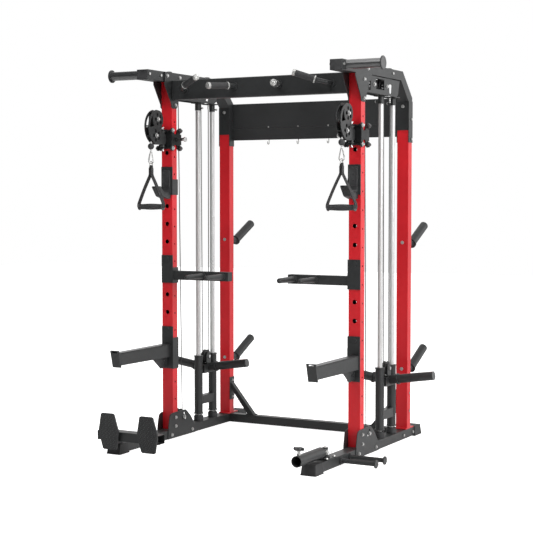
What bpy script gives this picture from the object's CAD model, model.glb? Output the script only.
"""A cable training machine with two columns: materials, cables, handles, trim and studio.

The machine stands on z = 0 with its front towards -y and its right column at +x. Sizes are in
machine millimetres, which place() turns into scene metres. Shader values are in scene metres.
"""
import bpy, bmesh, math, random
from mathutils import Vector, Matrix


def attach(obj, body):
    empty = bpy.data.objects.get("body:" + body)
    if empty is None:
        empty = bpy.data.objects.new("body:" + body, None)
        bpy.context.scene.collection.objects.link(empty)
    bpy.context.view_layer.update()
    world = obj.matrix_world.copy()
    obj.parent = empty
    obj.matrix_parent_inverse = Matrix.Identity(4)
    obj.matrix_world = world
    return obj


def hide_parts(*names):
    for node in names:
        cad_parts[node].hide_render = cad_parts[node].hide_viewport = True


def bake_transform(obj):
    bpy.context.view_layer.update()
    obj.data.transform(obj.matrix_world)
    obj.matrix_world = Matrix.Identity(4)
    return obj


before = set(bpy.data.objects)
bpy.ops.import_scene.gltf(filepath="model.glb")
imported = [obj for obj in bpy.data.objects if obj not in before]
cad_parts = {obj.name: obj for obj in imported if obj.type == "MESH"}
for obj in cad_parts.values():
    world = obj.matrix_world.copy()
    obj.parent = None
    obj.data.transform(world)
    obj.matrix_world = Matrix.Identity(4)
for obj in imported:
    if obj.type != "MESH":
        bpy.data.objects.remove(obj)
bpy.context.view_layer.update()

random.seed(7)
scene = bpy.context.scene

# ------------------------------------------------------------------ driving dimensions, mm
ORIGIN_Y = 160.16         # machine y that lies at scene y = 0
COLUMN_X = 594.5          # column centre
TUBE_HALF = 35            # half the column tube's width
RAIL_TOP = 55.0           # top of the base rails
SIDES = {"right": 1, "left": -1}

# Pulley centres (y, z) and the radii at which the cable's centre wraps them
FRONT_TOP, REAR_TOP, TOP_WRAP = (162, 2010), (335, 2010), 40.6
BASE, BASE_WRAP = (117, 116), 38.6
CARRIAGE, CARRIAGE_WRAP = (425, 437), 36
UPPER_SWIVEL = (-110, 1841)
LOWER_SWIVEL, SWIVEL_WRAP = (-128, 1749), 36.5

CABLE_RADIUS = 2.5
TROLLEY_CABLE_Y = BASE[0] - BASE_WRAP
TROLLEY_CABLE_TOP = 1690
LIFT_END = (376.1, 1957.5)                 # y, z where the column cable starts
HANDLE_Y = LOWER_SWIVEL[0] - SWIVEL_WRAP   # everything that hangs from the swivel
STOP_Z, STOP_RADIUS = 1687, 18
RING_Z, RING_RADIUS = 1589, 13.4
RING_BOTTOM = RING_Z - RING_RADIUS
GRIP_Z, GRIP_HALF = 1347, 77.5

ROLLER_YS = {"front": -17, "rear": 66}
ROLLER_ZS = (1681, 1782)
HINGE_Y = -44
PIN_Y, PIN_Z = 25.2, 1731.4                # pop pin's axis
WIDE_BAR = (-192, 2086)                    # y, z of the wide grip bars' axis
UP = (0, 0, 1)


def place(x, y, z):
    """Scene position of a point in machine millimetres."""
    return Vector((x / 1000.0, (y - ORIGIN_Y) / 1000.0, z / 1000.0))


def scene_y(y):
    return (y - ORIGIN_Y) / 1000


def column_x(side, outward=0):
    return SIDES[side] * (COLUMN_X + outward)


# ------------------------------------------------------------------ node helpers
class Tree:
    """Builds one node tree, of a material or of the world."""

    def __init__(self, owner, output):
        owner.use_nodes = True
        self.tree = owner.node_tree
        self.tree.nodes.clear()
        self.output = self.node(output)
        self.shared = {}

    def node(self, kind, props=None, **inputs):
        """Adds a node. Inputs go by name, with _ for a space, or by number, as in i0."""
        node = self.tree.nodes.new("ShaderNode" + kind)
        for key, value in (props or {}).items():
            setattr(node, key, value)
        for key, value in inputs.items():
            socket = node.inputs[int(key[1:]) if key[1:].isdigit() else key.replace("_", " ")]
            if isinstance(value, bpy.types.NodeSocket):
                self.tree.links.new(value, socket)
            elif isinstance(value, (tuple, list)) and len(value) == 3 and socket.type == "RGBA":
                socket.default_value = (*value, 1)
            else:
                socket.default_value = value
        return node

    def source(self, kind, output):
        """An output of a node that the whole tree shares."""
        if kind not in self.shared:
            self.shared[kind] = self.node(kind)
        return self.shared[kind].outputs[output]

    def normal(self):
        return self.source("NewGeometry", "Normal")

    def split(self, vector):
        outputs = self.node("SeparateXYZ", Vector=vector).outputs
        return outputs["X"], outputs["Y"], outputs["Z"]

    def xyz(self):
        return self.split(self.source("TexCoord", "Object"))

    def math(self, operation, a, b=0.0, clamp=False):
        props = {"operation": operation, "use_clamp": clamp}
        return self.node("Math", props, i0=a, i1=b).outputs[0]

    def add(self, a, b):
        return self.math("ADD", a, b)

    def sub(self, a, b):
        return self.math("SUBTRACT", a, b)

    def mul(self, a, b):
        return self.math("MULTIPLY", a, b)

    def size(self, a):
        return self.math("ABSOLUTE", a)

    def above(self, a, limit):
        return self.math("GREATER_THAN", a, limit)

    def below(self, a, limit):
        return self.math("LESS_THAN", a, limit)

    def between(self, a, low, high):
        return self.mul(self.above(a, low), self.below(a, high))

    def near(self, a, centre, reach):
        return self.below(self.size(self.sub(a, centre)), reach)

    def wave(self, a, length):
        return self.math("SINE", self.mul(a, 2 * math.pi / length))

    def vary(self, noise, middle, spread):
        """A value that the noise moves about its middle."""
        return self.add(self.mul(noise, spread), middle - spread / 2)

    def noise(self, scale, detail=3, rough=0.5, vector=None):
        vector = vector or self.source("TexCoord", "Object")
        node = self.node("TexNoise", Vector=vector, Scale=scale, Detail=detail, Roughness=rough)
        return node.outputs["Fac"]

    def ramp(self, fac, start, end, low=(0, 0, 0), high=(1, 1, 1)):
        node = self.node("ValToRGB", Fac=fac)
        first, last = node.color_ramp.elements
        first.position, last.position = start, end
        first.color, last.color = (*low, 1), (*high, 1)
        return node.outputs["Color"]

    def mix(self, fac, a, b):
        return self.node("MixRGB", Fac=fac, Color1=a, Color2=b).outputs[0]

    def bump(self, height, strength, distance, **normal):
        node = self.node("Bump", Height=height, Strength=strength, Distance=distance, **normal)
        return node.outputs[0]

    def edge(self, radius):
        """Mask of the sharp edges, and the normal rounded over them."""
        bevel = self.node("Bevel", {"samples": 4}, Radius=radius).outputs[0]
        dot = self.node("VectorMath", {"operation": "DOT_PRODUCT"}, i0=bevel, i1=self.normal())
        bend = self.sub(1.0, dot.outputs["Value"])
        return self.ramp(bend, start=0.01, end=0.12), bevel

    def bsdf(self, **inputs):
        return self.node("BsdfPrincipled", **inputs).outputs[0]

    def switch(self, mask, off, on):
        return self.node("MixShader", i0=mask, i1=off, i2=on).outputs[0]

    def off_centre(self):
        """Distance in x from the nearer column's centre plane."""
        x, _, _ = self.xyz()
        return self.size(self.sub(self.size(x), COLUMN_X / 1000))

    def radial(self, axis):
        """Distance from an axis along x at machine (y, z)."""
        _, y, z = self.xyz()
        dy = self.sub(y, scene_y(axis[0]))
        dz = self.sub(z, axis[1] / 1000)
        return self.math("SQRT", self.add(self.mul(dy, dy), self.mul(dz, dz)))

    def finish(self, shader):
        self.tree.links.new(shader, self.output.inputs[0])


def grey(value):
    return (value,) * 3


def shade(color, times, plus=0):
    return tuple(min(1, c * times + plus) for c in color)


# ------------------------------------------------------------------ base shaders
def powder(mat, base, rough, grain, wear, wear_amount, coat, spec=0.36):
    """Powder coat: grain is its bump, wear the colour of its chipped edges."""
    big = mat.noise(scale=2.3, detail=4)
    mid = mat.noise(scale=34, detail=5, rough=0.6)
    fine = mat.noise(scale=950, detail=2, rough=0.6)
    peel = mat.noise(scale=260, detail=2, rough=0.5)
    cloud = mat.ramp(big, start=0.35, end=0.68)
    color = mat.mix(cloud, shade(base, times=0.86), shade(base, times=1.12, plus=0.003))
    mottle = mat.mul(mat.ramp(mid, start=0.5, end=0.85), 0.16)
    color = mat.mix(mottle, color, shade(base, times=1.35, plus=0.012))
    # dust that settles on upward faces
    _, _, up = mat.split(mat.normal())
    patches = mat.ramp(mat.noise(scale=18, detail=6, rough=0.7), start=0.4, end=0.75)
    dust = mat.mul(mat.ramp(up, start=0.75, end=1.0), mat.mul(patches, 0.10))
    color = mat.mix(dust, color, (0.5, 0.48, 0.46))
    # rubbed and chipped edges
    edge, normal = mat.edge(radius=0.0014)
    chips = mat.ramp(mat.noise(scale=70, detail=6, rough=0.75), start=0.52, end=0.66)
    chipped = mat.mul(edge, mat.mul(chips, wear_amount))
    rubbed = mat.mul(edge, 0.16)
    color = mat.mix(rubbed, color, shade(base, times=1.6, plus=0.05))
    color = mat.mix(chipped, color, wear)
    edge_polish = mat.mul(edge, 0.08)
    roughness = mat.sub(mat.vary(mid, middle=rough, spread=0.16), edge_polish)
    fine_share, peel_share = 0.6, 0.7
    height = mat.add(mat.mul(fine, fine_share), mat.mul(peel, peel_share))
    normal = mat.bump(height, strength=grain, distance=0.00035, Normal=normal)
    return mat.bsdf(Base_Color=color, Roughness=roughness, Normal=normal, Coat_Weight=coat,
                    Coat_Roughness=0.28, Specular_IOR_Level=spec)


def metal(mat, base=(0.56, 0.56, 0.565), rough=0.30, scratch=0.15, tint=(0.40, 0.38, 0.35),
          metallic=1.0):
    """Plated metal, scratched along z and stained with the tint."""
    place_node = mat.node("Mapping", Vector=mat.source("TexCoord", "Object"), Scale=(160, 160, 3))
    scratches = mat.noise(scale=9, detail=4, rough=0.6, vector=place_node.outputs[0])
    mid = mat.noise(scale=60, detail=5, rough=0.6)
    stain = mat.mul(mat.ramp(mid, start=0.45, end=0.8), 0.35)
    scuff = mat.mul(mat.ramp(scratches, start=0.5, end=0.8), 0.08)
    roughness = mat.add(mat.vary(mid, middle=rough, spread=0.18), scuff)
    fine = mat.mul(mat.noise(scale=700, detail=2), 0.4)
    normal = mat.bump(mat.add(scratches, fine), strength=scratch, distance=0.00012)
    return mat.bsdf(Base_Color=mat.mix(stain, base, tint), Metallic=metallic,
                    Roughness=roughness, Normal=normal)


def dark(mat, base, rough=0.5, grain=500, strength=0.25, lines=None, coat=0.0, sheen=0.0):
    """Rubber or plastic: grain is the bump's noise scale, lines a relief added to it."""
    mid = mat.noise(scale=28, detail=5, rough=0.6)
    cloud = mat.ramp(mid, start=0.35, end=0.75)
    color = mat.mix(cloud, shade(base, times=0.8), shade(base, times=1.5, plus=0.004))
    edge, normal = mat.edge(radius=0.001)
    rubbed = mat.mul(edge, 0.25)
    color = mat.mix(rubbed, color, shade(base, times=2.2, plus=0.04))
    height = mat.noise(scale=grain, detail=3, rough=0.6)
    if lines is not None:
        grain_share = 0.4
        height = mat.add(mat.mul(height, grain_share), lines)
    normal = mat.bump(height, strength=strength, distance=0.0003, Normal=normal)
    return mat.bsdf(Base_Color=color, Roughness=mat.vary(mid, middle=rough, spread=0.2),
                    Normal=normal, Coat_Weight=coat, Sheen_Weight=sheen, Sheen_Roughness=0.5)


# ------------------------------------------------------------------ materials of the pieces
RED = (0.53, 0.0055, 0.012)
BLACK = (0.0155, 0.0165, 0.017)


def red_tube(mat):
    paint = powder(mat, RED, rough=0.42, grain=0.14, wear=(0.35, 0.3, 0.28), wear_amount=0.3,
                   coat=0.06)
    # the tube's inside is bare and dark
    _, y, _ = mat.xyz()
    off = mat.off_centre()
    inside_x = mat.below(off, 0.0331)
    inside_y = mat.add(mat.between(y, scene_y(1.9), scene_y(48.5)), 0.0)
    bare = dark(mat, base=(0.010, 0.008, 0.008), rough=0.8, grain=300, strength=0.2)
    # and so are the walls of the small side holes
    facing_x = mat.size(mat.split(mat.normal())[0])
    wall = mat.mul(mat.below(facing_x, 0.5), mat.between(off, 0.0322, 0.03496))
    wall = mat.mul(wall, mat.between(y, scene_y(17), scene_y(33)))
    mask = mat.math("MINIMUM", mat.add(mat.mul(inside_x, inside_y), wall), 1.0)
    return mat.switch(mask, paint, bare)


def black_powder(mat):
    return powder(mat, BLACK, rough=0.46, grain=0.30, wear=grey(0.16), wear_amount=0.3, coat=0.04)


def chrome(mat):
    mid = mat.noise(scale=5, detail=4, rough=0.5)
    roughness = mat.vary(mid, middle=0.29, spread=0.10)
    cloud = mat.ramp(mid, start=0.4, end=0.8)
    color = mat.mix(cloud, (0.54, 0.54, 0.545), (0.49, 0.487, 0.48))
    normal = mat.bump(mat.noise(scale=14, detail=3), strength=0.02, distance=0.0002)
    gloss = mat.bsdf(Base_Color=color, Metallic=1.0, Roughness=roughness, Normal=normal)
    hazy_color = mat.mix(0.5, color, (0.46, 0.46, 0.45))
    haze = mat.bsdf(Base_Color=hazy_color, Metallic=0.0, Roughness=0.5, Normal=normal)
    haze_share = 0.66
    return mat.switch(haze_share, gloss, haze)


def forged_zinc(mat):
    gloss = metal(mat, base=(0.44, 0.44, 0.43), rough=0.26, scratch=0.12, tint=(0.30, 0.29, 0.27))
    cloud = mat.noise(scale=55, detail=4)
    color = mat.mix(cloud, (0.30, 0.30, 0.29), (0.42, 0.42, 0.41))
    haze = mat.bsdf(Base_Color=color, Roughness=0.45, Metallic=0.2)
    haze_share = 0.45
    return mat.switch(haze_share, gloss, haze)


def wide_bar(mat):
    """Powder coat, with satin on the grip: thinner than the tube and further out in x."""
    radius = mat.radial(WIDE_BAR)
    x, _, _ = mat.xyz()
    grip = mat.mul(mat.below(radius, 0.0262), mat.above(mat.size(x), 0.6347))
    mid = mat.ramp(mat.noise(scale=34, detail=5, rough=0.6), start=0.4, end=0.8)
    color = mat.mix(mid, (0.014, 0.0145, 0.015), (0.022, 0.0225, 0.023))
    knurl = mat.noise(scale=900, detail=2, rough=0.6)
    satin = mat.bsdf(Base_Color=color, Roughness=0.38,
                     Normal=mat.bump(knurl, strength=0.03, distance=0.0001), Coat_Weight=0.8,
                     Coat_IOR=1.8, Coat_Roughness=0.3, Specular_IOR_Level=0.5)
    return mat.switch(grip, black_powder(mat), satin)


def pop_pin(mat):
    """Dark, with a band of bright metal by its distance from the column's centre."""
    band = mat.between(mat.off_centre(), 0.052, 0.0955)
    sleeve = dark(mat, base=(0.012, 0.012, 0.0125), rough=0.45, grain=500, strength=0.25)
    return mat.switch(band, metal(mat, base=(0.55, 0.55, 0.545), rough=0.24), sleeve)


def nylon(mat, axis):
    """A pulley with turning marks and a metal bearing round its axis (y, z)."""
    radius = mat.radial(axis)
    rings = mat.node("TexWave", {"wave_type": "BANDS", "bands_direction": "X"},
                     Vector=mat.node("CombineXYZ", X=radius).outputs[0], Scale=420.0,
                     Distortion=0.0).outputs["Fac"]
    ring_depth = 0.6
    plastic = dark(mat, base=(0.0045, 0.0045, 0.005), rough=0.5, grain=380, strength=0.22,
                   lines=mat.mul(rings, ring_depth))
    bearing = metal(mat, base=(0.35, 0.35, 0.36), rough=0.3, scratch=0.1)
    bearing_radius = 0.0105
    return mat.switch(mat.below(radius, bearing_radius), plastic, bearing)


def cable_sheath(mat):
    along, around, _ = mat.split(mat.source("TexCoord", "UV"))
    # radians of twist per metre along and around the cable, and the twist's depth
    twist_along, twist_around, depth = 520.0, 1200.0, 0.2
    phase = mat.add(mat.mul(along, twist_along), mat.mul(around, twist_around))
    lines = mat.mul(mat.math("SINE", phase), depth)
    return dark(mat, base=(0.006, 0.006, 0.0065), rough=0.5, grain=600, strength=0.2, lines=lines)


def webbing(mat):
    along, around, _ = mat.split(mat.source("TexCoord", "UV"))
    weft = mat.wave(along, length=0.0030)
    rib = mat.wave(around, length=0.0022)
    # herringbone: a wave along the strap that each rib shifts
    slant, half = 2.5, 0.5
    phase = mat.add(mat.mul(along, 2 * math.pi / 0.0019), mat.mul(mat.size(rib), slant))
    herringbone = mat.math("SINE", phase)
    weave = mat.mul(mat.add(weft, rib), half)
    fuzz = mat.noise(scale=1500, detail=4, rough=0.7)
    height = mat.add(mat.add(weave, mat.mul(herringbone, half)), mat.mul(fuzz, half))
    relief = mat.ramp(height, start=-0.6, end=1.2)
    color = mat.mix(relief, (0.004, 0.004, 0.0045), (0.020, 0.020, 0.021))
    patches = mat.ramp(mat.noise(scale=40, detail=5, rough=0.7), start=0.5, end=0.8)
    fading = mat.mul(patches, 0.3)
    color = mat.mix(fading, color, (0.032, 0.031, 0.030))
    return mat.bsdf(Base_Color=color, Roughness=0.86,
                    Normal=mat.bump(height, strength=0.8, distance=0.0004),
                    Sheen_Weight=0.10, Sheen_Roughness=0.4)


def trolley(mat):
    """Powder coated body, with rollers, bolts and hinge told apart by their place."""
    off = mat.off_centre()
    _, y, z = mat.xyz()
    body = powder(mat, (0.009, 0.0095, 0.010), rough=0.44, grain=0.32, wear=grey(0.16),
                  wear_amount=0.3, coat=0.0, spec=0.22)
    roller = dark(mat, base=grey(0.006), rough=0.5, grain=500, strength=0.3)
    zinc = metal(mat)
    roller_start, bolt_start = 0.0441, 0.0531   # distances from the column's centre
    hinge_y = mat.near(y, scene_y(HINGE_Y), reach=0.0105)
    hinge_z = mat.math("ADD", mat.above(z, 1.7885), mat.below(z, 1.6755), clamp=True)
    hinge = mat.mul(mat.mul(hinge_y, hinge_z), mat.below(off, 0.0105))
    middle_z = sum(ROLLER_ZS) / 2000
    rollers = mat.mul(mat.above(off, roller_start), mat.near(z, middle_z, reach=0.3))
    shader = mat.switch(rollers, body, roller)
    shader = mat.switch(mat.above(off, bolt_start), shader, zinc)
    # the pop pin's boss stands further out than the cheeks but is powder coated
    boss = mat.mul(mat.near(z, PIN_Z / 1000, reach=0.0135), mat.above(off, roller_start))
    return mat.switch(hinge, mat.switch(boss, shader, body), zinc)


def yoke(mat):
    bolts = mat.above(mat.off_centre(), 0.0151)
    body = powder(mat, (0.015, 0.0155, 0.016), rough=0.40, grain=0.32, wear=grey(0.2),
                  wear_amount=0.35, coat=0.05, spec=0.3)
    return mat.switch(bolts, body, metal(mat))


def carriage(mat):
    body = powder(mat, BLACK, rough=0.43, grain=0.36, wear=grey(0.24), wear_amount=0.6, coat=0.12)
    axle = mat.mul(mat.above(mat.off_centre(), 0.0221), mat.below(mat.radial(CARRIAGE), 0.0112))
    return mat.switch(axle, body, metal(mat))


def pale_floor(mat):
    """Matt floor that also glows to the camera."""
    cloud = mat.ramp(mat.noise(scale=0.8, detail=4), start=0.3, end=0.7)
    color = mat.mix(cloud, grey(0.86), (0.90, 0.90, 0.895))
    normal = mat.bump(mat.noise(scale=40, detail=4), strength=0.03, distance=0.001)
    matt = mat.bsdf(Base_Color=color, Roughness=0.75, Normal=normal)
    glow = mat.mul(mat.source("LightPath", "Is Camera Ray"), 0.86)
    emission = mat.node("Emission", Color=grey(1), Strength=glow).outputs[0]
    return mat.node("AddShader", i0=matt, i1=emission).outputs[0]


def material(name, shader, **settings):
    made = bpy.data.materials.new(name)
    tree = Tree(made, "OutputMaterial")
    tree.finish(shader(tree, **settings))
    return made


MATERIALS = {
    "red": material("red_powder", red_tube),
    "black": material("black_powder", black_powder),
    "chrome": material("polished_chrome", chrome),
    "zinc": material("bright_zinc", metal, base=(0.47, 0.47, 0.465), rough=0.32, metallic=0.8),
    "rubber": material("moulded_rubber", dark, base=(0.017, 0.017, 0.018), rough=0.68,
                       grain=420, strength=0.4),
    "cable": material("cable_sheath", cable_sheath),
    "pin": material("pop_pin_sleeve_and_knob", pop_pin),
    "hook": material("forged_zinc_hook", forged_zinc),
    "cap": material("powder_cap", powder, base=(0.050, 0.051, 0.052), rough=0.42, grain=0.3,
                    wear=grey(0.2), wear_amount=0.3, coat=0.06),
    "bar": material("black_powder_and_satin_grip", wide_bar),
    "tyre": material("roller_urethane", dark, base=(0.006, 0.006, 0.0065), rough=0.42,
                     grain=520, strength=0.25),
    "web": material("woven_webbing", webbing),
    "thread": material("stitch_thread", dark, base=(0.10, 0.10, 0.105), rough=0.8, grain=2500,
                       strength=0.5, sheen=0.4),
    "plastic": material("black_plastic", dark, base=(0.028, 0.028, 0.029), rough=0.42,
                        grain=700, strength=0.3, coat=0.1),
    "tread": material("tread_plate", powder, base=(0.020, 0.021, 0.0215), rough=0.42,
                      grain=0.25, wear=grey(0.1), wear_amount=0.15, coat=0.05),
    "trolley": material("trolley_powder_and_rollers", trolley),
    "yoke": material("yoke_powder_and_bolts", yoke),
    "carriage": material("carriage_powder_and_axle", carriage),
    "front_top": material("nylon_front_top", nylon, axis=FRONT_TOP),
    "rear_top": material("nylon_rear_top", nylon, axis=REAR_TOP),
    "base": material("nylon_base", nylon, axis=BASE),
    "carriage_pulley": material("nylon_carriage", nylon, axis=CARRIAGE),
    "upper_swivel": material("nylon_upper", nylon, axis=UPPER_SWIVEL),
    "lower_swivel": material("nylon_lower", nylon, axis=LOWER_SWIVEL),
    "floor": material("pale_floor", pale_floor),
}

SLOTS = {
    "cable": "cable_sheath", "zinc": "bright_zinc", "chrome": "bright_zinc",
    "hook": "bright_zinc", "pin": "bright_zinc", "rubber": "black_rubber",
    "plastic": "black_rubber", "web": "strap_webbing", "thread": "strap_webbing",
    "cap": "black_powder_coat", "tread": "black_powder_coat", "tyre": "pulley_nylon",
}

# ------------------------------------------------------------------ loaded pieces
PIECE_MATERIALS = {
    "front_columns": "red", "rear_columns": "red", "guide_rods": "chrome",
    "wide_grip_bars": "bar", "accessory_hooks": "hook", "frame_bolts": "zinc",
    "pulley_axles": "zinc", "rubber_feet": "rubber", "rod_bumpers": "rubber",
    "pull_up_grips": "rubber", "column_cables": "cable", "lift_cables": "cable",
}
# (start of the name, material); the first that fits is used
PREFIX_MATERIALS = (
    ("trolley_pop_pin", "pin"), ("front_top_pulley", "front_top"),
    ("rear_top_pulley", "rear_top"), ("base_pulley", "base"),
    ("carriage_pulley", "carriage_pulley"), ("upper_swivel_pulley", "upper_swivel"),
    ("lower_swivel_pulley", "lower_swivel"), ("trolley", "trolley"),
    ("swivel_yoke", "yoke"), ("weight_carriage", "carriage"),
)
# bevel widths in metres
DEFAULT_BEVEL = 0.0009
BEVELS = {
    "base_rails": 0.0022, "front_columns": 0.003, "rear_columns": 0.003,
    "top_side_tubes": 0.003, "pull_up_crossbeam": 0.006, "wide_grip_bars": 0.0022,
    "rear_lower_crossmember": 0.0022, "row_foot_plates": 0.002, "header_panel": 0.0006,
    "trolley_right": 0.0007, "rear_upper_crossbar": 0.0007, "rubber_feet": 0.0014,
    "frame_bolts": 0.0005, "pulley_axles": 0.0005,
}


def material_of(name):
    if name in PIECE_MATERIALS:
        return PIECE_MATERIALS[name]
    for prefix, key in PREFIX_MATERIALS:
        if name.startswith(prefix):
            return key
    return "black"


def modify(piece, name, kind, **settings):
    modifier = piece.modifiers.new(name, kind)
    for key, value in settings.items():
        setattr(modifier, key, value)


def bevel_edges(piece, width, angle, **settings):
    modify(piece, "bevel", "BEVEL", width=width, segments=2, limit_method="ANGLE",
           angle_limit=math.radians(angle), use_clamp_overlap=True, **settings)


for name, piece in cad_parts.items():
    piece.data.materials.clear()
    piece.data.materials.append(MATERIALS[material_of(name)])
    for face in piece.data.polygons:
        face.use_smooth = True
        face.material_index = 0
    modify(piece, "weld", "WELD", merge_threshold=0.00002)
    modify(piece, "planar", "DECIMATE", decimate_type="DISSOLVE",
           angle_limit=math.radians(0.4), use_dissolve_boundaries=False)
    bevel_edges(piece, BEVELS.get(name, DEFAULT_BEVEL), angle=38, miter_outer="MITER_ARC")
    modify(piece, "normals", "WEIGHTED_NORMAL", weight=80, keep_sharp=False)


# ------------------------------------------------------------------ mesh builders
def finish(name, mesh, key, body=None, bevel=0.0, slot=None):
    """Makes the object, gives it its material and slot, and lets it ride on a body."""
    bmesh.ops.recalc_face_normals(mesh, faces=mesh.faces)
    data = bpy.data.meshes.new(name)
    mesh.to_mesh(data)
    mesh.free()
    piece = bpy.data.objects.new(name, data)
    scene.collection.objects.link(piece)
    data.materials.append(MATERIALS[key])
    for face in data.polygons:
        face.use_smooth = True
    if bevel:
        bevel_edges(piece, bevel, angle=35)
    modify(piece, "normals", "WEIGHTED_NORMAL", weight=80)
    slot = slot or SLOTS.get(key)
    if body:
        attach(piece, body)
    return piece


def bridge(mesh, ring, following):
    count = len(ring)
    for k in range(count):
        after = (k + 1) % count
        mesh.faces.new((ring[k], ring[after], following[after], following[k]))


def lathe(mesh, profile, base, axis, sides, lobes=None):
    """Turns (radius, height) mm about an axis from base; radius 0 closes with a pole.

    lobes = (count, depth) flutes the rings.
    """
    axis = Vector(axis).normalized()
    helper = Vector(UP) if abs(axis.z) < 0.9 else Vector((1, 0, 0))
    across = axis.cross(helper).normalized()
    other = axis.cross(across).normalized()
    mesh.loops.layers.uv.verify()
    rings = []
    for radius, height in profile:
        centre = base + axis * (height / 1000)
        if radius <= 1e-6:
            rings.append([mesh.verts.new(centre)])
            continue
        ring = []
        for k in range(sides):
            turn = 2 * math.pi * k / sides
            reach = radius * (1 + (lobes[1] * math.cos(lobes[0] * turn) if lobes else 0))
            spoke = across * math.cos(turn) + other * math.sin(turn)
            ring.append(mesh.verts.new(centre + spoke * (reach / 1000)))
        rings.append(ring)
    for low, high in zip(rings, rings[1:]):
        for k in range(sides):
            after = (k + 1) % sides
            if len(low) == 1:
                mesh.faces.new((low[0], high[k], high[after]))
            elif len(high) == 1:
                mesh.faces.new((low[k], high[0], low[after]))
            else:
                mesh.faces.new((low[k], high[k], high[after], low[after]))
    for ring in (rings[0], rings[-1]):
        if len(ring) > 2:
            mesh.faces.new(ring)


def circle(radius, count=16):
    turns = [2 * math.pi * k / count for k in range(count)]
    return [(radius * math.cos(turn), radius * math.sin(turn)) for turn in turns]


def rounded_rect(width, height, radius, steps):
    right, top = width / 2 - radius, height / 2 - radius
    points = []
    for x, y, start in ((right, top, 0), (-right, top, 90), (-right, -top, 180),
                        (right, -top, 270)):
        for k in range(steps + 1):
            turn = math.radians(start + 90 * k / steps)
            points.append((x + radius * math.cos(turn), y + radius * math.sin(turn)))
    return points


def sweep(mesh, path, section, across, closed=False, scale=None):
    """Sweeps a section (mm) along a path (m); across is the section's first axis.

    The UVs are metres along the path and around the section.
    """
    across = Vector(across).normalized()
    uv = mesh.loops.layers.uv.verify()
    around = [0.0]
    for a, b in zip(section, section[1:] + section[:1]):
        around.append(around[-1] + math.hypot(b[0] - a[0], b[1] - a[1]) / 1000)
    count = len(path)
    rings, along, length = [], [], 0.0
    for i, point in enumerate(path):
        before = path[(i - 1) % count] if (closed or i) else point
        after = path[(i + 1) % count] if (closed or i < count - 1) else point
        second = (after - before).normalized().cross(across).normalized()
        if i:
            length += (point - path[i - 1]).length
        size = scale[i] if scale else 1.0
        rings.append([mesh.verts.new(point + across * (a * size / 1000)
                                     + second * (b * size / 1000)) for a, b in section])
        along.append(length)
    spans = list(zip(rings, rings[1:], along, along[1:]))
    if closed:
        spans.append((rings[-1], rings[0], along[-1], along[-1] + (path[0] - path[-1]).length))
    for ring, following, u0, u1 in spans:
        for k in range(len(section)):
            after = (k + 1) % len(section)
            face = mesh.faces.new((ring[k], ring[after], following[after], following[k]))
            v0, v1 = around[k], around[k + 1]
            for loop, corner in zip(face.loops, ((u0, v0), (u0, v1), (u1, v1), (u1, v0))):
                loop[uv].uv = corner
    if not closed:
        mesh.faces.new(rings[0])
        mesh.faces.new(rings[-1])


def arc_offsets(radius, start, end, steps):
    turns = [math.radians(start + (end - start) * k / steps) for k in range(steps + 1)]
    return [(radius * math.cos(turn), radius * math.sin(turn)) for turn in turns]


def arc_yz(x, centre, radius, start, end, steps=16):
    return [place(x, centre[0] + a, centre[1] + b)
            for a, b in arc_offsets(radius, start, end, steps)]


def arc_xz(x, y, z, radius, start, end, steps=16):
    return [place(x + a, y, z + b) for a, b in arc_offsets(radius, start, end, steps)]


def round_corners(points, radius, steps=6):
    """Rounds the corners of a polyline with curves that start about radius metres away."""
    path = [points[0]]
    for a, corner, c in zip(points, points[1:], points[2:]):
        back, ahead = a - corner, c - corner
        cut = min(radius, back.length * 0.45, ahead.length * 0.45)
        start = corner + back.normalized() * cut
        end = corner + ahead.normalized() * cut
        for k in range(steps + 1):
            t = k / steps
            path.append(start * (1 - t) ** 2 + corner * 2 * t * (1 - t) + end * t * t)
    path.append(points[-1])
    return path


def turned(name, turns, key, body, **options):
    """A piece of lathed parts, each (profile, base, axis, sides)."""
    mesh = bmesh.new()
    for turn in turns:
        lathe(mesh, *turn)
    return finish(name, mesh, key, body, **options)


def swept(name, path, section, across, key, body, **options):
    mesh = bmesh.new()
    sweep(mesh, path, section, across, **options)
    return finish(name, mesh, key, body)


# ------------------------------------------------------------------ cables
def cable(name, path, body):
    return swept(name, path, circle(CABLE_RADIUS, 16), (1, 0, 0), "cable", body)


def stretching_cable(name, start, end):
    """A straight run between two bodies that move apart."""
    piece = swept(name, [start, end], circle(CABLE_RADIUS, 20), (1, 0, 0), "cable", None)
    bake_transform(piece)
    return piece


def lift_cables(side):
    """Two runs up from the carriage pulley, and the loop under it."""
    x = column_x(side)
    y, z = CARRIAGE
    runs = (("front", place(x, y - CARRIAGE_WRAP, z), place(x, *LIFT_END)),
            ("rear", place(x, y + CARRIAGE_WRAP, z), place(x, y + CARRIAGE_WRAP, 1945)))
    for tag, start, end in runs:
        piece = stretching_cable(f"lift_cable_{tag}_{side}", start, end)
        if (side, tag) == ("right", "front"):
            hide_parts("lift_cables")
    loop = arc_yz(x, CARRIAGE, CARRIAGE_WRAP, 180, 360, 30)
    cable(f"carriage_cable_loop_{side}", loop, "carriage_" + side)


def column_cable(side):
    """Over the two top pulleys and down round the base pulley."""
    x = column_x(side)
    path = [place(x, *LIFT_END)]
    path += arc_yz(x, REAR_TOP, TOP_WRAP, 0, 90)
    path += arc_yz(x, FRONT_TOP, TOP_WRAP, 90, 180)
    path += arc_yz(x, BASE, BASE_WRAP, 0, -180, 28)
    piece = cable(f"column_cable_{side}", path, "frame")
    if side == "right":
        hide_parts("column_cables")


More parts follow.
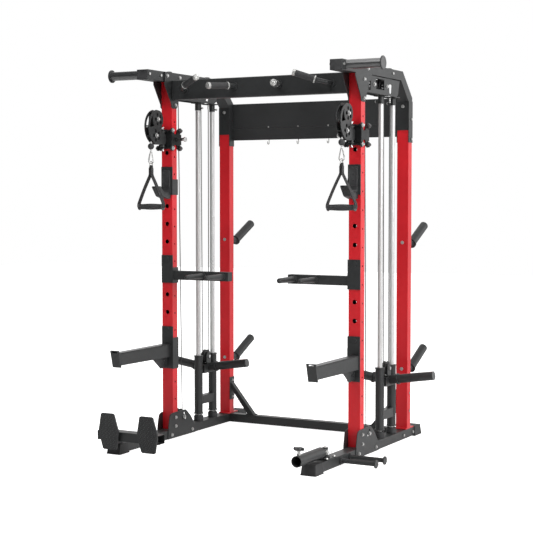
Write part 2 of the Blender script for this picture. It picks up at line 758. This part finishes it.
def trolley_cable(side):
    """Run behind the front column up to the trolley, with its swaged end."""
    x = column_x(side)
    start = place(x, TROLLEY_CABLE_Y, BASE[1])
    end = place(x, TROLLEY_CABLE_Y, TROLLEY_CABLE_TOP)
    stretching_cable(f"trolley_cable_{side}", start, end)
    swage = [(3.2, -34), (4.6, -31), (4.6, -6), (5.2, -5), (5.2, 0), (3.4, 1), (3.4, 14)]
    turned(f"cable_swage_{side}", [(swage, end, UP, 24)], "zinc", "trolley_" + side)


def lift_ferrule(side):
    """Ferrule at the rear lift run's fixed end."""
    profile = [(3.0, -30), (4.8, -27), (5.0, -20), (4.4, -19), (5.0, -18), (5.0, -4),
               (7.5, -3.5), (7.5, 0)]
    base = place(column_x(side), CARRIAGE[0] + CARRIAGE_WRAP, 1958)
    turned(f"lift_ferrule_{side}", [(profile, base, UP, 24)], "zinc", "frame")


def swivel_cables(side):
    """Over the lower swivel pulley and down to the cable stop."""
    x = column_x(side)
    feed_z = 1785.6
    path = [place(x, -60, feed_z), place(x, -100, feed_z)]
    path += arc_yz(x, LOWER_SWIVEL, SWIVEL_WRAP, 90, 180, 18)
    cable(f"swivel_cable_wrap_{side}", path, "swivel_" + side)
    start, end = place(x, HANDLE_Y, LOWER_SWIVEL[1]), place(x, HANDLE_Y, 1704)
    piece = stretching_cable(f"handle_cable_{side}", start, end)
    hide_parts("cable_end_" + side)


# ------------------------------------------------------------------ cable stop, hook and ring
def cable_stop(side):
    """Rubber ball with a seam groove, between two metal caps."""
    centre = place(column_x(side), HANDLE_Y, STOP_Z)
    ball = []
    for k in range(25):
        turn = math.radians(12 + 156 * k / 24)
        radius, height = STOP_RADIUS * math.sin(turn), STOP_RADIUS * math.cos(turn)
        if abs(height) < 0.9:
            radius -= 0.5
        ball.append((radius, -height))
    profile = [(3.2, ball[0][1] + 0.5)] + ball + [(3.2, ball[-1][1] - 0.5)]
    turned(f"cable_stop_{side}", [(profile, centre, UP, 56)], "rubber", "cable_end_" + side)
    top = [(2.8, 16.2), (6.6, 16.0), (7.2, 16.8), (7.2, 19.5), (6.2, 20.6), (4.2, 21.2),
           (3.9, 27), (2.9, 28)]
    bottom = [(4.2, -17.4), (5.6, -18), (5.6, -21), (4.4, -22.5), (4.0, -24), (5.4, -26),
              (6.3, -29), (5.4, -32), (3, -33.5)]
    turned(f"cable_stop_cap_{side}", [(top, centre, UP, 40), (bottom, centre, UP, 40)],
           "chrome", "cable_end_" + side)


def snap_hook(side):
    """Pear-shaped link facing the front, with a gate on its outer leg."""
    x, out = column_x(side), SIDES[side]
    top_z, bottom_z, top_radius, bottom_radius = 1648, 1606, 6.2, 16.0
    lean = math.degrees(math.asin((bottom_radius - top_radius) / (top_z - bottom_z)))
    loop = arc_xz(x, HANDLE_Y, top_z, top_radius, -lean, 180 + lean)
    loop += arc_xz(x, HANDLE_Y, bottom_z, bottom_radius, 180 + lean, 360 - lean, 26)
    oval = [(a * 1.08, b * 0.94) for a, b in circle(3.1)]
    neck = [(0, 1660), (4.2, 1659.5), (5.4, 1657.5), (5.4, 1654), (4.6, 1652.5), (3.6, 1650)]
    mesh = bmesh.new()
    sweep(mesh, loop, oval, (0, 1, 0), closed=True)
    lathe(mesh, neck, place(x, HANDLE_Y, 0), UP, 32)
    finish(f"snap_hook_{side}", mesh, "hook", "cable_end_" + side)

    start = place(x + out * (top_radius + 2.0), HANDLE_Y, top_z - 5)
    end = place(x + out * (bottom_radius - 0.4), HANDLE_Y, bottom_z + 5)
    gate = [start, start * 0.7 + end * 0.3, start * 0.3 + end * 0.7, end]
    hinge_pin = [(0, -4.4), (1.7, -4.2), (1.7, 4.2), (0, 4.4)]
    mesh = bmesh.new()
    sweep(mesh, gate, circle(3.7), (0, 1, 0), scale=[0.9, 1, 1, 0.92])
    lathe(mesh, hinge_pin, start, (0, 1, 0), 16)
    finish(f"snap_hook_gate_{side}", mesh, "hook", "cable_end_" + side)


def handle_ring(side):
    """D-shaped ring with its flat side down."""
    x = column_x(side)
    # (y from the handle's plane, z) of the flat side
    flat = ((-13.6, 1586), (-15.6, RING_BOTTOM), (15.6, RING_BOTTOM), (13.6, 1586))
    ring = arc_yz(x, (HANDLE_Y, RING_Z), RING_RADIUS, 0, 180, 22)
    ring += round_corners([place(x, HANDLE_Y + dy, z) for dy, z in flat], 0.004)
    piece = swept(f"handle_ring_{side}", ring, circle(2.4, 14), (1, 0, 0), "hook",
                  "pull_handle_" + side, closed=True)
    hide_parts("pull_handle_" + side)


# ------------------------------------------------------------------ pull handle
# Half of the strap, from the grip up to the ring: (x from the middle, z)
STRAP_FOOT, STRAP_NECK = (76.5, 1378), (5.2, 1525)
STRAP_RUN = ((78, 1341), (83.6, 1345), (83.2, 1362), STRAP_FOOT, STRAP_NECK, (4.6, 1540),
             (4.6, RING_BOTTOM - 4))


def strap_half(x, way):
    """Half the strap, cut into short steps and bowed outwards between foot and neck."""
    corners = round_corners([place(x + way * dx, HANDLE_Y, z) for dx, z in STRAP_RUN], 0.012, 5)
    path = [corners[0]]
    for a, b in zip(corners, corners[1:]):
        count = max(1, int((b - a).length / 0.006))
        path += [a + (b - a) * i / count for i in range(1, count + 1)]
    bowed = []
    for point in path:
        rise = (point.z * 1000 - STRAP_FOOT[1]) / (STRAP_NECK[1] - STRAP_FOOT[1])
        rise = min(1, max(0, rise))
        bowed.append(point + Vector((way * 0.0022 * math.sin(math.pi * rise), 0, 0)))
    return bowed


def handle_strap(side):
    """One strap round the ring and down to both ends of the grip, narrower at the ring."""
    x = column_x(side)
    over = arc_xz(x, HANDLE_Y, RING_BOTTOM - 0.2, 4.6, 180, 0, 12)
    path = strap_half(x, -1) + over[1:-1] + strap_half(x, 1)[::-1]
    scale = [1.0 - 0.26 * min(1.0, max(0.0, (point.z - 1.530) / 0.030)) for point in path]
    swept(f"handle_strap_{side}", path, rounded_rect(31, 4.6, 1.7, 3), (0, 1, 0), "web",
          "pull_handle_" + side, scale=scale)


def handle_neck(side):
    """An extra ply on each side of the neck, with box stitching."""
    x, body = column_x(side), "pull_handle_" + side
    ply = ((7.1, 1529), (7.5, 1533), (7.5, 1560), (7.0, 1566))   # x from the middle, z
    mesh = bmesh.new()
    for way in (-1, 1):
        path = [place(x + way * dx, HANDLE_Y, z) for dx, z in ply]
        sweep(mesh, path, rounded_rect(24.4, 2.4, 0.9, 3), (0, 1, 0))
    finish(f"handle_neck_ply_{side}", mesh, "web", body)

    half, low, high, pitch = 9.5, 1534, 1560, 3.4
    # lines of stitches: y and z of the start, then of the end
    lines = ((-half, low, half, low), (-half, high, half, high), (-half, low, -half, high),
             (half, low, half, high), (-half, low, half, high), (-half, high, half, low))
    mesh = bmesh.new()
    for way in (-1, 1):
        for y0, z0, y1, z1 in lines:
            count = max(1, int(math.hypot(y1 - y0, z1 - z0) / pitch))
            for i in range(count):
                start, end = (
                    place(x + way * 8.9, HANDLE_Y + y0 + (y1 - y0) * t, z0 + (z1 - z0) * t)
                    for t in ((i + 0.14) / count, (i + 0.86) / count))
                run = (end - start).length
                thread = [(0, 0), (0.5, 0.25), (0.62, run * 500), (0.5, run * 1000 - 0.25),
                          (0, run * 1000)]
                lathe(mesh, thread, start, end - start, 8)
    finish(f"handle_stitching_{side}", mesh, "thread", body)


def handle_grip(side):
    """Ribbed grip, fullest in the middle, and its flanged end rings."""
    centre, body = place(column_x(side), HANDLE_Y, GRIP_Z), "pull_handle_" + side
    profile = [(9.5, -78), (12, -78.4)]
    for k in range(int(2 * GRIP_HALF) + 1):
        height = k - GRIP_HALF
        flare = 1.6 * (abs(height) / GRIP_HALF) ** 6
        belly = 3.1 * math.cos(height / GRIP_HALF * math.pi * 0.5) ** 1.5
        groove = 0.55 if k % 4 in (2, 3) else 0
        profile.append((14.2 + flare + belly - groove, height))
    profile += [(12, 78.4), (9.5, 78)]
    turned(f"handle_grip_{side}", [(profile, centre, (1, 0, 0), 48)], "rubber", body)
    flange = [(8, 75), (17.8, 75), (19.4, 76), (19.8, 78), (19.4, 80.4), (17.5, 81.6),
              (12.5, 81.8), (9, 80.5), (8, 78)]
    turned(f"handle_end_rings_{side}", [(flange, centre, (way, 0, 0), 48) for way in (-1, 1)],
           "plastic", body, bevel=0.0004, slot="strap_webbing")


# ------------------------------------------------------------------ carriage and pop pin
def horn_end_discs(side):
    profile = [(24.6, -1.5), (24.6, -0.3), (23.4, 0.15), (21.5, 0.45), (19, 0.8), (12, 1.0),
               (0, 1.1)]
    tilt, reach = math.radians(81.5), 0.292   # from upright, and metres along the horn
    root = place(column_x(side), CARRIAGE[0], 369)
    turns = []
    for way in (-1, 1):
        axis = Vector((SIDES[side] * way * math.sin(tilt), 0, math.cos(tilt)))
        turns.append((profile, root + axis * reach, axis, 56))
    turned(f"horn_end_discs_{side}", turns, "cap", "carriage_" + side)


def pop_pin_trim(side):
    """Domed cap on the knob, and the coil spring between boss and neck."""
    dome = [(14.0, 0.0), (14.1, 1.0), (12.5, 2.4), (8.5, 3.8), (4, 4.6), (0, 4.8)]
    base = place(column_x(side, -(TUBE_HALF + 76)), PIN_Y, PIN_Z)
    turned(f"pop_pin_dome_{side}", [(dome, base, (-SIDES[side], 0, 0), 40)], "chrome",
           "pop_pin_" + side)

    coils, steps, coil_radius, wire_radius = 7, 96, 6.4, 0.9
    spring_start, length = TUBE_HALF + 25, 20.5
    centres, points = [], []
    for k in range(steps + 1):
        t = k / steps
        x = column_x(side, -(spring_start + length * t))
        turn = t * 2 * math.pi * coils
        centres.append(place(x, PIN_Y, PIN_Z))
        points.append(place(x, PIN_Y + coil_radius * math.cos(turn),
                            PIN_Z + coil_radius * math.sin(turn)))
    mesh = bmesh.new()
    rings = []
    for i, (centre, point) in enumerate(zip(centres, points)):
        tangent = (points[min(steps, i + 1)] - points[max(0, i - 1)]).normalized()
        spoke = (point - centre).normalized()
        second = tangent.cross(spoke).normalized()
        rings.append([mesh.verts.new(point + (spoke * a + second * b) / 1000)
                      for a, b in circle(wire_radius, 8)])
    for ring, following in zip(rings, rings[1:]):
        bridge(mesh, ring, following)
    mesh.faces.new(rings[0])
    mesh.faces.new(rings[-1])
    piece = finish(f"pop_pin_spring_{side}", mesh, "pin")
    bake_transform(piece)


# ------------------------------------------------------------------ trolley and yoke hardware
DOME = [(7.4, 0), (7.2, 0.6), (6.2, 2.0), (4.2, 3.3), (2.0, 3.9), (0, 4.1)]


def yoke_dome_nuts(side):
    washer = [(10.2, 0), (13.2, 0.05), (13.2, 1.3), (12.6, 1.6), (10.2, 1.6)]
    turns = []
    for y, z in (UPPER_SWIVEL, LOWER_SWIVEL):
        for way in (-1, 1):
            for profile, offset, sides in ((DOME, 22, 28), (washer, 15, 36)):
                base = place(column_x(side) + way * offset, y, z)
                turns.append((profile, base, (way, 0, 0), sides))
    turned(f"yoke_dome_nuts_{side}", turns, "zinc", "swivel_" + side)


def roller_nuts(side):
    washer = [(8.2, 0), (12.0, 0.0), (12.3, 0.7), (11.6, 1.5), (8.4, 2.0)]
    hexagon = [(8.0, 1.6), (8.8, 2.0), (8.8, 6.0), (8.0, 7.0), (6.6, 7.3)]
    # profile, distance from the column's centre, sides
    stack = ((DOME, 60, 28), (washer, 53.4, 40), (hexagon, 53.4, 6))
    for tag, key in (("front", "zinc"), ("rear", "plastic")):
        turns = []
        for z in ROLLER_ZS:
            for way in (-1, 1):
                for profile, offset, sides in stack:
                    base = place(column_x(side) + way * offset, ROLLER_YS[tag], z)
                    turns.append((profile, base, (way, 0, 0), sides))
        turned(f"roller_dome_nuts_{tag}_{side}", turns, key, "trolley_" + side)


def roller_tyres(side):
    """Tyres with a shallow groove and a raised hub."""
    profile = [(9.4, 9.2), (12.4, 9.2), (14.6, 9.9), (15.0, 11.2), (14.3, 12.6), (14.3, 14.2),
               (15.0, 15.4), (14.6, 17.1), (12.6, 17.8), (11.2, 17.4), (9.4, 18.0)]
    turned(f"roller_tyres_{side}",
           [(profile, place(column_x(side) + way * TUBE_HALF, y, z), (way, 0, 0), 44)
            for y in ROLLER_YS.values() for z in ROLLER_ZS for way in (-1, 1)],
           "tyre", "trolley_" + side)


def trolley_screws(side):
    """Set screws in the trolley's front, and washers at the ends of the yoke's barrel."""
    x = column_x(side)
    screw = [(2.7, 0.4), (2.7, -0.6), (2.0, -0.9), (1.2, -0.9), (1.0, -2.2), (0, -2.2)]
    turned(f"trolley_set_screws_{side}",
           [(screw, place(x, -14, z), (0, -1, 0), 20) for z in (1719, 1750)],
           "zinc", "trolley_" + side)
    turns = []
    for low, high in ((1773.1, 1773.9), (1690.1, 1690.9)):
        washer = [(7.0, low), (15.5, low), (15.5, high), (7.0, high)]
        turns.append((washer, place(x, HINGE_Y, 0), UP, 40))
    turned(f"hinge_washers_{side}", turns, "zinc", "trolley_" + side)


# ------------------------------------------------------------------ bar hook and frame trim
def bar_hook_trim(side):
    """Liner in the bar hook, and the pad's rim with two buttons inside it."""
    x, body = column_x(side, -3), "bar_hook_" + side
    # y, z down the back, along the bottom and up the front
    liner = ((-13.9, 1553), (-13.9, 1436), (-28, 1426.4), (-65, 1426.4), (-84, 1437.5),
             (-105, 1462))
    swept(f"bar_hook_liner_{side}", round_corners([place(x, y, z) for y, z in liner], 0.008),
          rounded_rect(46, 3.4, 1.2, 3), (1, 0, 0), "plastic", body)
    # corner centres: x from the middle, z, start angle
    corners = ((12, 1544, 0), (-12, 1544, 90), (-12, 1470, 180), (12, 1470, 270))
    rim = []
    for dx, z, start in corners:
        rim += arc_xz(x + dx, -14.6, z, 10, start, start + 90, 6)
    button = [(6.2, -1.0), (6.2, 0.6), (5.4, 1.4), (3.2, 1.5), (2.9, 0.4), (0, 0.4)]
    mesh = bmesh.new()
    sweep(mesh, rim, rounded_rect(6.5, 4.0, 1.3, 3), (0, 1, 0), closed=True)
    for z in (1524, 1490):
        lathe(mesh, button, place(x, -15.2, z), (0, -1, 0), 28)
    finish(f"bar_hook_pad_rim_{side}", mesh, "plastic", body)


def tube_trim(side):
    """Screws in the rod collars and plugs on the tubes' tops."""
    screw = [(6.2, -0.4), (6.6, 0.2), (6.4, 2.4), (5.0, 3.4), (2.6, 3.6), (2.4, 2.2), (0, 2.2)]
    turned(f"collar_screws_{side}",
           [(screw, place(column_x(side, -32), y, 1929), (-SIDES[side], 0, 0), 28)
            for y in (341, 505)], "zinc", "frame")
    plug = [(17.5, -0.3), (18, 0.6), (17.8, 5.4), (15.5, 8.0), (11.0, 9.3), (0, 9.6)]
    turned(f"tube_top_plugs_{side}",
           [(plug, place(column_x(side), y, 2112), UP, 36) for y in (26, 446)],
           "plastic", "frame")


def spotter_arm_strip(side):
    x = column_x(side, 4.5)
    path = [place(x, y, z) for y, z in ((-9, 551.9), (-250, 550.9), (-505, 549.4))]
    swept(f"spotter_arm_strip_{side}", round_corners(path, 0.01, 3),
          rounded_rect(44, 3.6, 1.3, 3), (1, 0, 0), "plastic", "spotter_arm_" + side)


def wide_grip_caps(side):
    """Flat cap in the wide grip tube's front, and a round one on its bar's outer end."""
    out = SIDES[side]
    tube_inner, tube_outer, thickness = 562, 634.5, 2.8
    centre = place(out * (tube_inner + tube_outer) / 2, -241.5, 2084)
    outline = rounded_rect(68.5, 52, 3, 4)
    mesh = bmesh.new()
    back, front = ([mesh.verts.new(centre + Vector((a, -depth, b)) / 1000) for a, b in outline]
                   for depth in (0, thickness))
    mesh.faces.new(back)
    mesh.faces.new(front)
    bridge(mesh, back, front)
    finish(f"wide_grip_tube_cap_{side}", mesh, "plastic", "frame", bevel=0.0008)
    profile = [(33, -0.5), (35.6, 0), (35.9, 1.2), (34.2, 2.6), (28, 3.1), (24, 2.2),
               (10, 2.0), (0, 2.4)]
    turned(f"wide_grip_end_cap_{side}",
           [(profile, place(out * 840.5, *WIDE_BAR), (out, 0, 0), 56)], "plastic", "frame")


# Pull-up grips: name, start and end of the axis on the right side, start of the sleeve
PULL_UP_GRIPS = (
    ("inner", (145.5, -57, 2017.5), (202, -188, 2011), 19),
    ("outer", (414, -101, 2024), (305, -149, 2063), 13),
)


def pull_up_grips(side):
    """Metal end cap and collar on each grip, and a ribbed sleeve between them."""
    for tag, near, far, sleeve in PULL_UP_GRIPS:
        start, end = (place(SIDES[side] * x, y, z) for x, y, z in (near, far))
        axis = (end - start).normalized()
        length = (end - start).length * 1000
        # radius, height past the grip's end
        cap = [(16.9, -8.0), (17.7, -7.6), (18.0, -6.8), (18.0, 4.6), (17.2, 6.6), (15.6, 7.6),
               (13.4, 7.9), (12.6, 6.4), (8.2, 6.2), (7.6, 8.6), (0, 9.0)]
        # radius, height from the sleeve's start
        collar = [(12.7, -8.6), (19.6, -8.6), (20.6, -7.8), (20.6, -1.4), (19.6, -0.6),
                  (17.2, -0.3)]
        turned(f"pull_up_{tag}_trim_{side}",
               [([(radius, base + height) for radius, height in profile], start, axis, 44)
                for profile, base in ((cap, length), (collar, sleeve))], "hook", "frame")
        ribs = [(16.6, sleeve + 1)]
        height, k = sleeve + 1.5, 0
        while height < length - 10:
            ribs.append((17.15 + (0.45 if k % 3 else 0), height))
            height += 1.3
            k += 1
        ribs.append((16.6, length - 9.4))
        turned(f"pull_up_{tag}_ribs_{side}", [(ribs, start, axis, 44)], "rubber", "frame")


SIDE_PIECES = (
    lift_cables, column_cable, trolley_cable, lift_ferrule, swivel_cables, cable_stop,
    snap_hook, handle_ring, handle_strap, handle_neck, handle_grip, horn_end_discs,
    pop_pin_trim, yoke_dome_nuts, roller_nuts, roller_tyres, trolley_screws, bar_hook_trim,
    tube_trim, spotter_arm_strip, wide_grip_caps, pull_up_grips,
)
for side in SIDES:
    for build in SIDE_PIECES:
        build(side)

# ------------------------------------------------------------------ tread on the foot plates
PLATE_XS, PLATE_Y, PLATE_Z, PLATE_TILT = (-590, -340), -590, 134, math.radians(6)
# Plate's outline: x, height up the plate, from its centre
PLATE_OUTLINE = [(-42, 102), (42, 102), (64, 8), (64, -10), (44, -100), (-44, -100),
                 (-64, -10), (-64, 8)]
PITCH_X, PITCH_Z, PLATE_MARGIN = 11.4, 11.2, 8
# Tread ribs: half length, half width and height off the plate's middle, at foot and top
RIB_FOOT, RIB_TOP, RIB_SIDES = (5.2, 1.9, 9.8), (3.6, 1.0, 11.3), 12


def on_plate(x, y):
    """Whether a point lies inside the outline by at least the margin."""
    for (x0, y0), (x1, y1) in zip(PLATE_OUTLINE, PLATE_OUTLINE[1:] + PLATE_OUTLINE[:1]):
        nx, ny = -(y1 - y0), x1 - x0
        distance = ((x - x0) * nx + (y - y0) * ny) / math.hypot(nx, ny)
        inward = 1 if -x0 * nx - y0 * ny > 0 else -1
        if distance * inward < PLATE_MARGIN:
            return False
    return True


def tread_rib(mesh, centre, x, y, angle):
    right = Vector((1, 0, 0))
    tilt = Matrix.Rotation(PLATE_TILT, 3, "X")
    up, out = tilt @ Vector(UP), tilt @ Vector((0, -1, 0))
    cos, sin = math.cos(angle), math.sin(angle)
    foot, top = [], []
    for k in range(RIB_SIDES):
        turn = 2 * math.pi * k / RIB_SIDES
        for ring, (length, width, height) in ((foot, RIB_FOOT), (top, RIB_TOP)):
            a, b = length * math.cos(turn), width * math.sin(turn)
            offset = right * (x + a * cos - b * sin) + up * (y + a * sin + b * cos)
            ring.append(mesh.verts.new(centre + (offset + out * height) / 1000))
    mesh.faces.new(top)
    mesh.faces.new(foot)
    bridge(mesh, foot, top)


def foot_plate_tread():
    mesh = bmesh.new()
    for plate_x in PLATE_XS:
        centre = place(plate_x, PLATE_Y, PLATE_Z)
        for row in range(-9, 10):
            for column in range(-6, 7):
                x = column * PITCH_X + (PITCH_X / 2 if row % 2 else 0)
                y = row * PITCH_Z
                if on_plate(x, y):
                    angle = math.radians(45 if (column + row) % 2 else -45)
                    tread_rib(mesh, centre, x, y, angle)
    finish("foot_plate_tread", mesh, "tread", "frame")


foot_plate_tread()

# ------------------------------------------------------------------ landmine, right column
YOKE_Y, KNOB_Y = -352, -648


def landmine_wire_pin():
    # x from the column's centre, z
    bends = ((20, 108), (30, 108), (38, 99), (36, 84), (27, 80), (24, 90))
    path = round_corners([place(COLUMN_X + dx, YOKE_Y, z) for dx, z in bends], 0.006)
    swept("landmine_wire_pin", path, circle(1.4, 12), (0, 1, 0), "zinc", "landmine_yoke")


def landmine_knob():
    """Five-lobed knob with a button on each side, on a metal neck."""
    base = place(COLUMN_X, KNOB_Y, 0)
    star = [(8, 146.2), (16, 146.4), (20.5, 148.2), (22, 152), (21.6, 159), (19, 162.2),
            (12, 163.6), (0, 164)]
    button = [(0, 3.2), (4.2, 2.8), (6.4, 1.8), (7.0, 0.4), (7.0, -0.2)]
    turns = [(star, base, UP, 70, (5, 0.11))]
    turns += [(button, place(COLUMN_X + way * 26, KNOB_Y, 155), (way, 0, 0), 28)
              for way in (-1, 1)]
    turned("landmine_knob_star", turns, "plastic", "landmine_knob")
    neck = [(5.2, 124.5), (10.5, 124.5), (11, 125.2), (11, 128.4), (9, 129), (8.5, 131),
            (8.4, 140), (9.6, 145.5), (8.2, 146)]
    turned("landmine_knob_neck", [(neck, base, UP, 36)], "hook", "landmine_knob")


def landmine_bolts():
    """Nuts on the sleeve's hinge, then the yoke's nut and four bolts on the base."""
    washer = [(7.2, 0.1), (12.5, 0.1), (12.8, 0.8), (12.2, 1.8), (9.4, 2.0)]
    hexagon = [(8, 1.9), (9.6, 2.2), (9.6, 6.4), (8.4, 7.6), (0, 8.4)]
    turned("landmine_hinge_nuts",
           [(profile, place(COLUMN_X + way * 24, -382, 95), (way, 0, 0), sides)
            for way in (-1, 1) for profile, sides in ((washer, 36), (hexagon, 6))],
           "hook", "landmine_sleeve")
    washer = [(8.4, 114.3), (13.5, 114.3), (13.8, 115.2), (13.2, 116), (10, 116.2)]
    nut = [(8, 115.9), (9.8, 116.1), (9.9, 117.2), (9.0, 118.3), (5.2, 118.9), (4.6, 118.3),
           (0, 118.3)]
    bolt = [(4, 0), (9.6, 0), (9.8, 1.0), (8.6, 1.5), (8.4, 5.2), (7.2, 6.2), (0, 6.6)]
    base = place(COLUMN_X, YOKE_Y, 0)
    turns = [(washer, base, UP, 40), (nut, base, UP, 36)]
    turns += [(bolt, place(COLUMN_X + way * 25, y, RAIL_TOP + 6), UP, 30)
              for way in (-1, 1) for y in (-388, -300)]
    turned("landmine_base_bolts", turns, "zinc", "frame")


landmine_wire_pin()
landmine_knob()
landmine_bolts()


# ------------------------------------------------------------------ floor, world, lights, camera
def build_floor():
    mesh = bmesh.new()
    corners = ((-14, -12), (14, -12), (14, 16), (-14, 16))
    mesh.faces.new([mesh.verts.new((x, y, -0.0002)) for x, y in corners])
    finish("floor", mesh, "floor")


def build_world():
    """White to the camera; the rest sees it brighten to the right and behind the machine."""
    world = bpy.data.worlds.new("studio")
    scene.world = world
    tree = Tree(world, "OutputWorld")
    x, y, z = tree.split(tree.source("TexCoord", "Generated"))

    def fade(value, start, end):
        return tree.node("MapRange", i0=value, i1=start, i2=end).outputs[0]

    sideways = tree.ramp(fade(x, start=-1.0, end=1.0), start=0.30, end=0.95,
                         low=(0.10, 0.102, 0.105), high=(1.0, 1.0, 1.0))
    behind = tree.mul(fade(y, start=0.15, end=0.75), fade(z, start=-0.03, end=0.06))
    color = tree.mix(behind, sideways, grey(1.9))
    seen = tree.node("Background", Color=grey(1), Strength=1.0).outputs[0]
    lighting = tree.node("Background", Color=color, Strength=0.62).outputs[0]
    tree.finish(tree.switch(tree.source("LightPath", "Is Camera Ray"), lighting, seen))


# Square area lights: name, location, point aimed at, size (m), power (W)
LIGHTS = (
    ("key_right", (6.0, -1.6, 3.0), (0.2, 0, 1.1), 3.2, 330),
    ("fill_front", (-0.5, -5.2, 6.2), (0, 0, 0.9), 3.5, 190),
    ("rim_right", (5.2, 6.5, 2.2), (0.4, 0, 1.1), 4.2, 50),
    ("top_soft", (0.3, -0.6, 5.2), (0, 0, 0.6), 4.0, 90),
)


def build_lights():
    for name, location, aim, size, power in LIGHTS:
        light = bpy.data.lights.new(name, "AREA")
        light.shape, light.size, light.energy = "SQUARE", size, power
        lamp = bpy.data.objects.new(name, light)
        lamp.location = location
        direction = Vector(aim) - Vector(location)
        lamp.rotation_euler = direction.to_track_quat("-Z", "Y").to_euler()
        scene.collection.objects.link(lamp)


def build_camera():
    """Long lens from the front right."""
    lens = bpy.data.cameras.new("cam")
    lens.lens, lens.sensor_width, lens.clip_end = 90.02, 36, 60
    camera = bpy.data.objects.new("cam", lens)
    camera.location = (3.5895, -6.63496, 1.4044)
    camera.rotation_euler = (math.radians(86.994), 0, math.radians(28.609))
    scene.collection.objects.link(camera)
    scene.camera = camera
    scene.view_settings.view_transform = "Standard"
    scene.view_settings.look = "None"


build_floor()
build_world()
build_lights()
build_camera()
